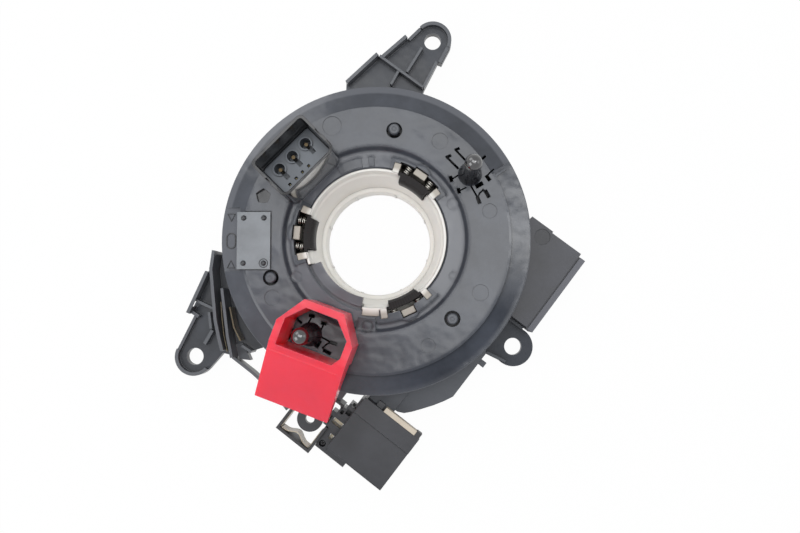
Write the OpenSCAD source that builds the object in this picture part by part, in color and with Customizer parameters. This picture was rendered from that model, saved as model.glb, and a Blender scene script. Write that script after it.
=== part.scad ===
/* [Rotor] */
// Radius of the rotor disc
disc_r = 55; // [54:0.5:56]
// Height of the flat rotor face above the back
face_z = 26; // [25.5:0.5:27]
// Radius at which the flat face drops to the sloping outer band
band_r = 47; // [46:0.5:48]
// Radius of the sunken ring around the opening
ring_r = 31.6; // [31.2:0.2:32.2]
// Radius of the opening in the rotor disc
opening_r = 25.4; // [25.4:0.1:25.8]

/* [Hub] */
// Radius of the bore that takes the steering shaft collar
bore_r = 19.5; // [19:0.1:20]
// Length of the straight bore
bore_len = 7; // [6:0.5:8]
// Outward travel of each jaw
jaw_travel = 1; // [0.6:0.1:1]

/* [Drive posts] */
// Radius of the circle that the drive posts stand on
post_circle_r = 40.3; // [39.9:0.1:40.6]
// Radius of a drive post
post_r = 2.9; // [2.6:0.1:3]
// Height of a drive post above the face
post_h = 22.4; // [18:0.2:24]

/* [Rotor connector] */
// Length of the connector shroud across the disc's radius
shroud_w = 23.7; // [23:0.1:23.9]
// Width of the connector shroud along the disc's radius
shroud_d = 16.8; // [16.4:0.1:17]
// Height of the connector shroud above the face
shroud_h = 17; // [14:0.5:19]

/* [Transport lock] */
// Height of the lock above the face
lock_h = 21; // [18:0.5:23]
// Wall of the lock's hexagonal tube
lock_wall = 2.4; // [1.8:0.1:2.6]

/* [Housing] */
// Radius of the fixing holes in the ears
ear_hole_r = 3.2; // [2.8:0.1:3.4]
// Thickness of the ears
ear_t = 3; // [2.5:0.5:3.5]
// Turns of the ribbon cable inside
cable_turns = 4; // [3:1:5]

/* [Hidden] */
fine = 120;
eps = 0.01;
cut = 1;

// Levels of the rotor, counted from the face
under_z = face_z - 5;
ring_z = face_z - 2.5;
band_z = face_z - 0.7;
rim_z = face_z - 3;
skirt_z = face_z - 5.6;
skirt_r = disc_r - 3.4;
ring_edge_r = ring_r + 1.4;

// Levels of the fixed housing
back_z = -0.4;
wall_top = face_z - 6.2;
wall_r = disc_r - 1;
wall_in = wall_r - 2.5;
cover_t = 2.4;
ear_z = 2;
ear_top = ear_z + ear_t;

// Hub and jaws
jaw_angles = [55, 175, 295];
jaw_half = 13.2;
jaw_flange_half = 15;
jaw_gap = 0.6;
jaw_in = 22.1;
jaw_flange_r = 24.4;
jaw_out = 25.4;
jaw_z = 15;
jaw_top = face_z - 1.8;
hub_out = opening_r - 0.2;
hub_top = face_z - 2;
funnel_z = bore_len + 1.4;
lug_offset = 18;
lug_w = 2.4;
lug_r = 28.2;
lug_z = ring_z - 1;
pocket_r = 28.9;
pocket_half = 16.4;
collar_r = 29.9;
collar_half = 23.4;
collar_top = face_z - 1.4;
lid_low = face_z - 2.2;
spring_start = 25.26;
spring_len = 2.9;
key_from = 202;
key_to = 258.5;
key_in = 21;
key_top = ring_z - 0.7;
wide_lug_at = 266.8;
wide_lug_half = 6.6;
wide_lug_r = 27.2;
spool_in = 30.8;
spool_out = 32.6;
spool_flange_r = 43;
tongue_at = jaw_out + jaw_travel + 0.5;
tongue_len = 2.3;
tongue_w = 4.8;

// Coil springs behind the jaws
spring_r = 1.28;
wire_r = 0.22;
spring_turns = 3;
spring_steps = 16;
wire_sides = 5;
spring_side = 4.65;
spring_z = face_z - 3.9;

// Ribbon cable between the drum wall and the spool
cable_t = 0.5;
cable_in = spool_out + 1.4;
cable_out = wall_in - 1.8;
cable_steps = 36;
cable_end = 197;
cable_z = 5;
cable_w = 11.5;

// Places on the rotor face
post_angles = [33.9, 236.2];
stud_r = 39;
stud_angles = [79.8, 200.5, 314];
stud_hole_r = 2.8;
stud_pin_r = 1.75;
shroud_at = 36.65;
shroud_angle = 135;
shroud_wall = 0.95;
insert_top = face_z + 5;
insert_low = face_z - 2;
airbag_gap = 6.3;
airbag_at = 3.2;
switch_gap = 3.05;
switch_at = -3.05;
switch_mid = 2.93;
insert_step = 6.6;
pin_low = face_z - 0.5;
plate_x = -42.7;
plate_y = -0.6;
plate_w = 11.8;
plate_l = 20.2;
plate_proud = 0.5;
mould_marks = [
    [43, 110.7, 3.4], [41.4, 56.2, 2.9], [41.4, 13.3, 2.6],
    [41.5, -27.3, 2.9], [41.8, -63.5, 2.6], [41.5, 210, 2.8]
];
ring_marks = [[30.1, 24.3, 2], [30.3, -25.2, 1.4], [30.9, 205.4, 2]];

// Slots around a post: ends of each slot and its width, x outwards and y around the disc
star_slots = [
    [[1.45, 5.4], [0.75, 9.8], 0.75], [[0.95, 10], [1.8, 9.8], 0.95],
    [[-2.25, 4.2], [-3.25, 9.5], 0.8], [[-3.1, 9.6], [-2.1, 9.4], 1.05],
    [[-3.4, 2], [-5.9, 2.1], 0.5], [[-6.5, 1.9], [-6.2, 2.8], 1.25],
    [[-3.8, -3.1], [-5.9, -2.8], 0.5], [[-6.6, -3], [-6.3, -2.2], 1.2],
    [[-2, -3.6], [-2.4, -8.4], 0.6], [[-2.5, -8.7], [-2.8, -9.9], 1.35],
    [[-2.1, -8.1], [-0.8, -7.4], 0.55], [[-0.9, -7.4], [0.8, -7.2], 0.5],
    [[0.7, -7.1], [1.2, -8], 0.6], [[1.15, -8.3], [1, -9.9], 1.4],
    [[-0.1, -4.9], [1.3, -5], 1.5],
    [[4.5, -4.1], [4.55, -5.2], 1.3], [[5, -3.7], [8, -3.1], 0.55],
    [[1.8, 4.6], [4.6, 4.65], 0.6], [[6.9, 2.2], [8.1, 2.4], 0.9]
];
star_shift = [[0, 0, 0], [0.7, -0.8, 0]];
rivet_dx = 3.6;
rivet_dy = 8;

// Transport lock, in a frame on the second post, x along its width and y towards the rim
lock_turn = -20.5;
lock_mid = 4.1;
lock_half = 13;
lock_nose = 6.8;
lock_back = -11.8;
lock_side = -2.6;
lock_front = 7.4;
lock_crease = 4;
lock_top = face_z + lock_h;
tab_end = 24.6;
tab_drop = 10.5;
tab_t = 2.4;

// Ears: hole centre, radius of the rounded end
ear_top_at = [20.7, 78.3];
ear_left_at = [-69.9, -42.7];
ear_right_at = [50.4, -38.7];
ear_end_r = 7.2;
right_end_r = 7.4;

// Bottom connector, in a frame on its outer corner, x along its side and y across it
block_at = [1.25, -90];
block_turn = 52.5;
block_len = 23.3;
block_w = 24.5;
block_top = 15;
lid_z = block_top - 2;
lid_len = 16.4;
socket_wall = 1.6;
socket_top = 9.5;
frame_low = -6.6;
frame_end = 15.4;
frame_from = 28.72;
frame_to = 44;
frame_wall = 1;

// Right connector, in a frame whose x points out of its mouth
right_turn = -36.9;
right_mouth_x = 65;
right_body_x = 62.4;
right_low_y = 7.6;
right_w = 33.7;
right_top = 14.5;
right_low = 3;
right_socket = 10;

plastic = [0.23, 0.24, 0.26];
dark_plastic = [0.16, 0.17, 0.18];

module polar(r, a, z = 0) {
    rotate([0, 0, a]) translate([r, 0, z]) children();
}

// Wedge from the axis, wide enough to reach past the disc
module wedge(a1, a2, r = 90) {
    polygon(concat([[0, 0]], [for (i = [0:4]) let (a = a1 + (a2 - a1) * i / 4) [r * cos(a), r * sin(a)]]));
}

// Straight upright rib from one point to another
module rib(from, to, w, z, h) {
    run = to - from;
    translate([from[0], from[1], z]) rotate([0, 0, atan2(run[1], run[0])])
        translate([-w / 2, -w / 2, 0]) cube([norm(run) + w, w, h]);
}

function unit(v) = v / norm(v);

// Line beside a path of points, mitred where it bends
function beside(points, off) = [
    for (i = [0:len(points) - 1])
        let (before = unit(points[max(i, 1)] - points[max(i, 1) - 1]),
             after = unit(points[min(i + 1, len(points) - 1)] - points[min(i, len(points) - 2)]),
             way = unit(before + after))
            points[i] + off / (way * before) * [-way[1], way[0]]
];

// Upright wall that bends through a few points
module bent_wall(points, w, z, h) {
    far_side = beside(points, -w / 2);
    translate([0, 0, z]) linear_extrude(h)
        polygon(concat(beside(points, w / 2), [for (i = [len(points) - 1:-1:0]) far_side[i]]));
}

module ring(r_out, r_in, z, h) {
    translate([0, 0, z]) difference() {
        cylinder(r = r_out, h = h, $fn = fine);
        translate([0, 0, -cut]) cylinder(r = r_in, h = h + 2 * cut, $fn = fine);
    }
}

// Fixed housing: drum wall, three ears, plate, cable guides and seats for the connectors
module ear_plate(at, end_r, outline) {
    translate([0, 0, ear_z]) linear_extrude(ear_t) {
        translate(at) circle(r = end_r, $fn = 64);
        polygon(outline);
    }
}

module ear_rim(at, end_r, a1, a2) {
    translate([at[0], at[1], ear_top - eps]) intersection() {
        difference() {
            cylinder(r = end_r, h = 2, $fn = 64);
            translate([0, 0, -cut]) cylinder(r = end_r - 1.3, h = 4, $fn = 64);
        }
        linear_extrude(3) wedge(a1, a2, 20);
    }
}

module top_ear() {
    ear_plate(ear_top_at, ear_end_r, [
        [-13, 50], [-12.6, 62], [-0.6, 73.1], [0.7, 71.9], [1.6, 72.6], [10.5, 80], [11.5, 79],
        [15.7, 83.4], [27.3, 75.4], [24.1, 69.3], [22.6, 69.9], [17.4, 59.6], [14, 50]
    ]);
    ear_rim(ear_top_at, ear_end_r, -25, 132);
    rib([15.6, 82.4], [12.1, 79], 1.2, ear_top - eps, 1.6);
    rib([26.4, 75.4], [23.6, 70.1], 1.2, ear_top - eps, 1.6);
    rib([-11.6, 62], [-0.8, 72], 1.3, ear_top - eps, 4);
    rib([2.1, 71.9], [10.2, 78.9], 1.3, ear_top - eps, 3.6);
    rib([0.9, 71.6], [16.6, 59.8], 1, ear_top - eps, 3.4);
    rib([16.4, 74.6], [11.1, 66], 1, ear_top - eps, 3);
    rib([7.8, 66.2], [5, 61.2], 1, ear_top - eps, 3.2);
    rib([22, 69.2], [17.2, 60], 1, ear_top - eps, 2.4);
}

module left_ear() {
    ear_plate(ear_left_at, ear_end_r, [
        [-76.7, -40.4], [-70.1, -27.2], [-72.3, -26], [-65.4, -10.6], [-62, -4],
        [-50, -4], [-40, -38], [-54, -42.6], [-59.2, -41.4], [-64.5, -47.5]
    ]);
    ear_rim(ear_left_at, ear_end_r, 155, 318);
    rib([-75.6, -39.8], [-69.6, -27.6], 1.1, ear_top - eps, 1.6);
    rib([-71.2, -25.6], [-64.7, -11.2], 1.3, ear_top - eps, 5);
    rib([-70, -26.1], [-68.4, -27.2], 1.2, ear_top - eps, 3);
    rib([-65.3, -37.3], [-63, -33.2], 1.3, ear_top - eps, 2.6);
    rib([-68.6, -21.6], [-62.6, -24.4], 1, ear_top - eps, 3.4);
    rib([-63.6, -26.4], [-62.9, -31.6], 1, ear_top - eps, 4);
}

module right_ear() {
    ear_plate(ear_right_at, right_end_r, [
        [40, -30], [46.6, -26.1], [53.6, -31.4], [54.5, -32.8], [48.3, -45.4], [40.2, -41.4], [34, -38]
    ]);
    rib([46.9, -26.7], [53.35, -31.52], 1.2, ear_z, 5.6);
    rib([40.8, -41], [47, -44], 1, ear_top - eps, 1.6);
}

module lower_plate() {
    translate([0, 0, ear_z]) linear_extrude(8) polygon([
        [40, -36], [40, -41], [27.8, -56.8], [24.6, -58.4], [20.6, -60], [16.4, -61.3], [12.6, -62.4],
        [9.8, -62.9], [7.4, -62.4], [4.4, -60.4], [-2, -53]
    ]);
    translate([38.7, -44.8, 5]) rotate([0, 0, -37.7]) translate([-1.8, -1.1, 0]) cube([3, 2.2, 3]);
}

module cable_guides() {
    bent_wall([[-60.6, -3], [-61.5, -10], [-60.6, -19], [-59.6, -28.8], [-58.2, -35.2], [-56.9, -40]],
        1.2, ear_z, 12.5);
    bent_wall([[-57.6, -17], [-56.4, -26], [-55.2, -35], [-53.6, -42.6]], 1.1, ear_z, 11.5);
    bent_wall([[-55, -42.8], [-47.4, -48.6], [-38.5, -56.5], [-34, -62.3]], 1.1, ear_z, 5);
    rib([-50.4, -38.6], [-47.6, -40.4], 1, ear_z, 8);
    // Web between the guide and the ribbon
    translate([0, 0, ear_z]) linear_extrude(4)
        polygon([[-54.6, -38], [-51.4, -37.4], [-48.4, -44], [-52.6, -43.6]]);
}

module stator_housing() {
    color(plastic) difference() {
        union() {
            difference() {
                union() {
                    translate([0, 0, back_z]) cylinder(r = wall_r, h = wall_top - back_z, $fn = fine);
                    top_ear();
                    left_ear();
                    right_ear();
                    lower_plate();
                    cable_guides();
                    connector_shelf();
                }
                translate([0, 0, -cut]) cylinder(r = wall_in, h = 40, $fn = fine);
            }
            // Ledge that the back cover seats against
            ring(wall_in + 1, wall_in - 1.2, cover_t + 0.02, 1.6);
        }
        for (at = [ear_top_at, ear_left_at, ear_right_at])
            translate([at[0], at[1], -cut]) cylinder(r = ear_hole_r, h = 20, $fn = 48);
        // Pocket and slit beside the left ear
        translate([-71, -24.4, ear_top - 1.4]) rotate([0, 0, 26]) cube([3.2, 3.6, 6]);
        translate([-62, -27.9, -cut]) rotate([0, 0, -81]) cube([3.4, 0.9, 30]);
        // Slot through which the ribbon cable leaves the drum
        rotate([0, 0, cable_end]) translate([wall_in - 4, -1.2, cable_z]) cube([12, 2.4, 12]);
    }
}

// Lugs that hold the two connectors and the open frame
module connector_shelf() {
    in_block() {
        translate([block_len + 0.05, 13, ear_z]) cube([16, block_w - 14, 9]);
        translate([frame_end + 0.02, 31, ear_z]) cube([8, 11, 7]);
    }
    in_right() translate([44, right_low_y + 4, ear_z])
        cube([right_body_x - 46, right_w - 8, right_low - ear_z]);
}

// Flat cover that closes the housing from behind
module back_cover() {
    color(dark_plastic) difference() {
        translate([0, 0, back_z]) cylinder(r = wall_in - 0.1, h = cover_t - back_z, $fn = fine);
        translate([0, 0, back_z - cut]) cylinder(r = 22, h = 5, $fn = fine);
        translate([0, 0, back_z - cut]) cylinder(r = 23, h = cut + 1.1 - back_z, $fn = fine);
        // Shallow groove with six ribs that keeps the wall even
        translate([0, 0, back_z - cut]) difference() {
            cylinder(r = 48, h = cut + 0.8, $fn = fine);
            translate([0, 0, -cut]) cylinder(r = 30, h = 5, $fn = fine);
            for (i = [0:5]) rotate([0, 0, 60 * i]) translate([0, -1, -cut]) cube([60, 2, 6]);
        }
    }
}

// Ribbon cable wound as a spiral between the drum wall and the spool
function spiral(r_add, dir) = [
    for (k = [0:cable_turns * cable_steps])
        let (i = dir > 0 ? k : cable_turns * cable_steps - k,
             r = cable_in + (cable_out - cable_in) * i / (cable_turns * cable_steps) + r_add,
             a = cable_end - 360 * cable_turns + 360 * i / cable_steps)
            [r * cos(a), r * sin(a)]
];

module flat_cable() {
    color([0.62, 0.47, 0.25]) translate([0, 0, cable_z])
        linear_extrude(cable_w) polygon(concat(spiral(0, 1), spiral(cable_t, -1)));
}

// Clips that hold the ribbon's two ends
module outer_cable_clip() {
    color(dark_plastic) rotate([0, 0, cable_end]) translate([wall_in - 1.28, -3, cover_t + 1.62])
        cube([1.18, 6, 13.4]);
}

module inner_cable_clip() {
    color(dark_plastic) rotate([0, 0, cable_end]) translate([spool_out + 0.02, -2.5, cable_z - 0.6])
        cube([1.1, 5, 13]);
}

// Two ribbon tails that run outside the drum to the bottom connector
module cable_tail() {
    color([0.5, 0.36, 0.2]) {
        bent_wall([[-58.3, -22], [-57.7, -29], [-56.9, -35], [-55.6, -40.4]], 0.3, ear_top, 7);
        bent_wall([[-54.9, -24], [-53.3, -31.5], [-50.8, -36.4]], 0.4, ear_top + 1.1, 6);
    }
}

module in_right() {
    rotate([0, 0, right_turn]) children();
}

// Side connector with its socket facing outwards
module right_connector() {
    height = right_top - right_low;
    color(plastic) in_right() difference() {
        union() {
            translate([40, right_low_y, right_low]) cube([right_body_x - 40, right_w, height]);
            // Lip around the mouth
            translate([right_body_x - 0.1, right_low_y - 0.3, right_low - 0.6])
                cube([right_mouth_x - right_body_x + 0.1, right_w - 1.4, height]);
        }
        translate([right_mouth_x - right_socket, right_low_y + 1.8, right_low + 1.2])
            cube([30, right_w - 5, height - 3.4]);
        // Step along the far side, seam behind the lip and round mark on top
        translate([49.4, right_low_y + right_w - 0.6, right_top - 4]) cube([20, 2, 6]);
        translate([right_body_x - 0.2, right_low_y - 2, right_top - 1.2]) cube([0.6, right_w + 4, 3]);
        translate([47.3, 37.4, right_top - 0.3]) cylinder(r = 2.9, h = 2, $fn = 48);
        rotate([0, 0, -right_turn]) translate([0, 0, -cut]) cylinder(r = wall_r + 0.05, h = 40, $fn = fine);
    }
}

module right_connector_pins() {
    color([0.75, 0.66, 0.4]) in_right() for (i = [0:7], j = [0:1])
        translate([right_mouth_x - right_socket, right_low_y + 5 + 3 * i, right_low + 3 + 3.4 * j])
            cube([3.2, 0.64, 0.64]);
}

module in_block() {
    translate([block_at[0], block_at[1], 0]) rotate([0, 0, block_turn]) children();
}

// Large connector with its socket open to the back and a comb towards the housing
module bottom_connector() {
    color(plastic) in_block() difference() {
        union() {
            translate([0, 0, back_z]) cube([block_len, block_w, lid_z - back_z]);
            translate([lid_len + 0.2, 0, back_z])
                cube([block_len - lid_len - 0.2, block_w, block_top - back_z]);
            translate([-3.6, 15.4, 2]) cube([3.7, 13.2, 4.6]);
            // Comb side, stepped in towards the housing
            translate([-2.3, block_w - eps, 2]) cube([15.3, 4.2, 6]);
            translate([5.4, block_w - eps, 2]) cube([6.1, 6.7, 7.6]);
            translate([11.4, block_w - eps, 2]) cube([2.5, 4.9, 8.8]);
            translate([13.8, block_w - eps, 2]) cube([1.2, 4.1, 8.8]);
            translate([14.9, block_w - eps, 2]) cube([2.9, 3.1, 9.6]);
            translate([17.7, block_w - eps, 2]) cube([4.2, 0.9, 10.6]);
            translate([block_len - eps, 17, 11.05]) cube([2.1, 2.6, 2.2]);
        }
        // Socket, open to the back
        translate([socket_wall, socket_wall, back_z - cut])
            cube([14.4 - socket_wall, block_w - 2 * socket_wall, socket_top + cut - back_z]);
        // Slots and square holes in the comb side
        translate([7.6, block_w + 0.3, -cut]) cube([2.2, 4.2, 20]);
        translate([13.4, block_w + 0.4, 6]) cube([2.2, 2, 20]);
        translate([1.9, block_w + 0.4, -cut]) cube([2, 1.6, 20]);
        translate([17, block_w + 0.3, 6]) cube([0.9, 1.8, 20]);
        translate([12.3, block_w + 2.9, 6]) cube([1.6, 1.2, 20]);
        translate([6.2, block_w + 5.2, 6]) cube([3.6, 0.8, 20]);
        // Groove between the flange and the block, and the seat of a screw
        translate([-1.7, 16, 4]) cube([1.5, 8, 6]);
        translate([-1, 26.8, 4.6]) cylinder(r = 1.3, h = 6, $fn = 32);
    }
}

module bottom_connector_lid() {
    color(plastic) in_block() difference() {
        translate([0, 0, lid_z]) cube([lid_len, block_w, 1.2]);
        translate([-cut, -cut, lid_z + 0.8]) cube([cut + 0.6, block_w + 2 * cut, 1]);
    }
}

module bottom_connector_pins() {
    color([0.75, 0.66, 0.4]) in_block() for (i = [0:5], j = [0:1])
        translate([5.2 + 4.4 * j, 4.6 + 3 * i, 4.8]) cube([0.64, 0.64, socket_top - 4.8]);
}

// Pale contact strip along the inner side of the bottom connector
module contact_strip() {
    color([0.6, 0.55, 0.46]) in_block() translate([block_len, 2.4, block_top - 3]) cube([1.9, 13.8, 3.4]);
}

module contact_strip_stop() {
    color(dark_plastic) in_block() translate([block_len, 0.3, block_top - 3]) cube([2.1, 2.05, 3.2]);
}

// Open square frame beside the bottom connector
module bracket_frame() {
    long = frame_end - frame_low;
    wide = frame_to - frame_from;
    color(dark_plastic) in_block() difference() {
        translate([frame_low, frame_from, 1]) cube([long, wide, 9]);
        translate([frame_low + frame_wall, frame_from + frame_wall, -cut])
            cube([long - 2 * frame_wall, wide - 2 * frame_wall, 20]);
        // Gap that clears the comb side of the connector
        translate([5, 20, -cut]) cube([9, 12, 20]);
    }
}

// Ring inside the frame that guides the cable
module eyelet() {
    color(dark_plastic) in_block() difference() {
        union() {
            translate([3.4, 36, 6.2]) cylinder(r = 4.8, h = 2.4, $fn = 48);
            translate([6.6, 34.4, 6.2]) cube([frame_end - frame_wall - 6.6, 3.4, 2.4]);
        }
        translate([3.4, 36, 0]) cylinder(r = 1.7, h = 20, $fn = 32);
    }
}

// Rotor disc with its shroud, posts and slots, moulded in one piece
module rotor_section() {
    polygon([
        [opening_r, under_z], [skirt_r, under_z], [skirt_r, skirt_z], [disc_r, skirt_z],
        [disc_r, rim_z], [band_r, band_z], [band_r, face_z], [ring_edge_r, face_z],
        [ring_r, ring_z], [opening_r + 0.6, ring_z], [opening_r, ring_z - 0.6]
    ]);
}

module drive_post() {
    foot_r = post_r + 1.3;
    tip = face_z + post_h;
    rotate_extrude($fn = 48) polygon(concat(
        [[0, under_z + 1], [foot_r, under_z + 1], [foot_r, face_z], [post_r, face_z + 5]],
        [for (i = [0:5]) let (a = 15 * i) [post_r * cos(a), tip - post_r + post_r * sin(a)]],
        [[0, tip]]
    ));
}

// Slots that leave the post on springy arms, the second star mirrored
module post_slots(i) {
    translate(star_shift[i]) mirror([0, i, 0]) for (slot = star_slots)
        rib(slot[0], slot[1], slot[2], under_z - cut, 20);
}

// Low collar of the disc around a jaw, bulging around the hub's tongue
module jaw_collar() {
    translate([0, 0, ring_z - 0.5]) linear_extrude(collar_top - ring_z + 0.5) difference() {
        union() {
            intersection() {
                circle(r = collar_r, $fn = fine);
                wedge(-collar_half, collar_half);
            }
            translate([27.4, 0]) circle(r = 4, $fn = 64);
        }
        circle(r = opening_r + 0.3, $fn = fine);
    }
}

// Rounded rectangle whose corners towards the axis are rounder
module shroud_outline(w, d, r) {
    q = 1.6 * r;
    polygon(concat(
        [for (i = [0:4]) let (a = -90 + 22.5 * i) [d / 2 - r + r * cos(a), -w / 2 + r + r * sin(a)]],
        [for (i = [0:4]) let (a = 22.5 * i) [d / 2 - r + r * cos(a), w / 2 - r + r * sin(a)]],
        [for (i = [0:4]) let (a = 90 + 22.5 * i) [-d / 2 + q + q * cos(a), w / 2 - q + q * sin(a)]],
        [for (i = [0:4]) let (a = 180 + 22.5 * i) [-d / 2 + q + q * cos(a), -w / 2 + q + q * sin(a)]]
    ));
}

// Space behind a jaw
module pocket(z, h, r) {
    translate([0, 0, z]) linear_extrude(h) intersection() {
        circle(r = r, $fn = fine);
        wedge(-pocket_half, pocket_half);
    }
}

module rotor_cover() {
    color(plastic) difference() {
        union() {
            rotate_extrude($fn = fine) rotor_section();
            // Curved shelf that dips into the bore between two jaws
            translate([0, 0, ring_z - 3.6]) linear_extrude(key_top - ring_z + 3.6) difference() {
                intersection() {
                    circle(r = opening_r + 0.4, $fn = fine);
                    wedge(key_from, key_to);
                }
                circle(r = key_in, $fn = fine);
            }
            for (a = jaw_angles) rotate([0, 0, a]) jaw_collar();
            // Raised pads on the sunken ring
            translate([0, 0, ring_z - 0.5]) linear_extrude(1) difference() {
                intersection() {
                    circle(r = 29.6, $fn = fine);
                    union() {
                        wedge(90.6, 94.8);
                        wedge(99.8, 118);
                    }
                }
                circle(r = 26.2, $fn = fine);
            }
            translate([0, 0, ring_z - 0.5]) linear_extrude(face_z - 0.9 - ring_z + 0.5) difference() {
                intersection() {
                    circle(r = 33.8, $fn = fine);
                    wedge(258.2, 270.6);
                }
                circle(r = 28, $fn = fine);
            }
            polar(shroud_at, shroud_angle, under_z) linear_extrude(face_z + shroud_h - under_z)
                shroud_outline(shroud_w, shroud_d, 1.8);
            for (a = post_angles) polar(post_circle_r, a) drive_post();
            // Band that stays high on the lower side, with a ridge along its inner edge
            translate([0, 0, rim_z - 0.5]) linear_extrude(2.5) difference() {
                intersection() {
                    circle(r = disc_r - 0.5, $fn = fine);
                    wedge(-168, 29.6);
                }
                circle(r = band_r - 1, $fn = fine);
            }
            translate([0, 0, face_z - 2]) linear_extrude(2) difference() {
                intersection() {
                    circle(r = band_r + 0.9, $fn = fine);
                    wedge(-120, 28.6);
                }
                circle(r = band_r - 0.5, $fn = fine);
            }
            // Ridge from the first post to the rim
            rib([41.9, 21.4], [45.6, 24.2], 0.8, face_z - 2, 2);
        }
        // Room for the jaws, their springs and the hub's lugs
        for (i = [0:2]) rotate([0, 0, jaw_angles[i]]) {
            pocket(under_z - cut, (i == 2 ? lid_low : collar_top + cut) - under_z + cut, pocket_r);
            pocket(under_z, 10, tongue_at - 0.2);
            translate([tongue_at - 1, -tongue_w / 2 - 0.3, under_z - cut])
                cube([tongue_len + 1.4, tongue_w + 0.6, 10]);
            for (s = [-1, 1]) rotate([0, 0, s * lug_offset]) translate([20, -lug_w / 2 - 0.1, lug_z - 0.02])
                cube([lug_r - 19.9, lug_w + 0.2, 9]);
        }
        // Groove along the curved shelf
        translate([0, 0, key_top - 1.2]) linear_extrude(3) difference() {
            intersection() {
                circle(r = opening_r + 0.1, $fn = fine);
                wedge(key_from - 1, key_to + 1);
            }
            circle(r = opening_r - 1, $fn = fine);
        }
        translate([0, 0, lug_z - 0.02]) linear_extrude(9) intersection() {
            circle(r = wide_lug_r + 0.1, $fn = fine);
            wedge(wide_lug_at - wide_lug_half - 0.2, wide_lug_at + wide_lug_half + 0.2);
        }
        // Inside of the shroud, and the notches in its short sides
        polar(shroud_at, shroud_angle, insert_low)
            linear_extrude(40) shroud_outline(shroud_w - 2 * shroud_wall, shroud_d - 2 * shroud_wall, 1.2);
        for (s = [-1, 1]) polar(shroud_at, shroud_angle, face_z + shroud_h - 3)
            translate([-1.6, s * (shroud_w / 2 - 0.1) - 0.5, 0]) cube([2.6, 1, 8]);
        for (a = stud_angles) polar(stud_r, a, under_z - cut) cylinder(r = stud_hole_r, h = 20, $fn = 48);
        for (i = [0:1]) polar(post_circle_r, post_angles[i]) difference() {
            post_slots(i);
            translate([0, 0, under_z - 2]) cylinder(r = post_r + 1.3 - eps, h = 30, $fn = 48);
        }
        // Seat of the index plate and the flat strip beside it
        translate([plate_x - plate_w / 2 - 0.1, plate_y - plate_l / 2 - 0.4, face_z - 0.6])
            cube([plate_w + 0.5, plate_l + 0.8, 5]);
        translate([-60, -11.4, rim_z]) cube([12, 22.9, 9]);
        // Shallow round marks left by the mould
        for (m = mould_marks) polar(m[0], m[1], face_z - 0.25) cylinder(r = m[2], h = 5, $fn = 48);
        for (m = ring_marks) polar(m[0], m[1], ring_z - 0.25) cylinder(r = m[2], h = 5, $fn = 48);
        // Round boss on the pad over the wide lug
        polar(30.9, 265.2, face_z - 1.3) difference() {
            cylinder(r = 2.2, h = 5, $fn = 48);
            translate([0, 0, -cut]) cylinder(r = 1.5, h = 9, $fn = 48);
        }
        // Five-sided pocket
        polar(42.4, 158.9, face_z - 1.4) cylinder(r = 2.8, h = 9, $fn = 5);
    }
}

// Spool under the disc that carries the inner end of the ribbon cable
module spool_drum() {
    color(dark_plastic) {
        difference() {
            union() {
                ring(spool_out, spool_in, cover_t + 0.6, under_z - cover_t - 0.6);
                ring(spool_flange_r, spool_in, under_z - 1.8, 1.8);
            }
            for (a = post_angles) polar(post_circle_r, a, under_z - 5) cylinder(r = 7, h = 20, $fn = 48);
            polar(shroud_at, shroud_angle, under_z - 5) cylinder(r = 3, h = 20, $fn = 48);
        }
        for (a = stud_angles) polar(stud_r, a, under_z - 1) rotate_extrude($fn = 32)
            polygon([[0, 0], [stud_pin_r, 0], [stud_pin_r, 6], [stud_pin_r - 0.5, 6.7], [0, 6.8]]);
    }
}

// White hub with the bore, the funnel and the seats of the three jaws
module hub_ring() {
    color([0.86, 0.85, 0.8]) {
        difference() {
            union() {
                rotate_extrude($fn = fine) polygon([
                    [bore_r, 0], [22.6, 0], [22.6, 0.9], [21.93, 0.9], [21.93, 2.8],
                    [30.4, 2.8], [30.4, 4.2], [26.8, 4.2], [26.8, 14.2], [hub_out, 14.2],
                    [hub_out, hub_top], [hub_out - 0.8, hub_top], [hub_out - 1.1, hub_top - 3.4],
                    [hub_out - 1.9, hub_top - 4.2], [21.3, funnel_z + 0.2],
                    [21.3, funnel_z - 0.6], [bore_r + 0.3, funnel_z - 1], [bore_r, bore_len]
                ]);
                for (a = jaw_angles, s = [-1, 1]) rotate([0, 0, a + s * lug_offset])
                    translate([hub_out - 0.4, -lug_w / 2, lug_z])
                        cube([lug_r - hub_out + 0.4, lug_w, face_z - 1.6 - lug_z]);
                translate([0, 0, lug_z]) linear_extrude(hub_top - lug_z) difference() {
                    intersection() {
                        circle(r = wide_lug_r, $fn = fine);
                        wedge(wide_lug_at - wide_lug_half, wide_lug_at + wide_lug_half);
                    }
                    circle(r = hub_out - 0.4, $fn = fine);
                }
                // Tongue behind each jaw
                for (a = jaw_angles) rotate([0, 0, a]) translate([tongue_at, -tongue_w / 2, 4.2 - eps])
                    cube([tongue_len, tongue_w, face_z - 6.6]);
            }
            // Window of each jaw, wider behind so that it holds the jaw's flange
            for (a = jaw_angles) rotate([0, 0, a]) translate([0, 0, jaw_z - 0.05]) linear_extrude(20) {
                wedge(-jaw_half - jaw_gap, jaw_half + jaw_gap, 26);
                difference() {
                    intersection() {
                        circle(r = 26.5, $fn = fine);
                        wedge(-jaw_flange_half - jaw_gap, jaw_flange_half + jaw_gap);
                    }
                    circle(r = jaw_flange_r - 0.1, $fn = fine);
                }
            }
            // Room for the curved shelf of the disc
            translate([0, 0, ring_z - 4]) linear_extrude(20) wedge(key_from - 1.2, key_to + 1, 27);
        }
    }
}

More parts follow.
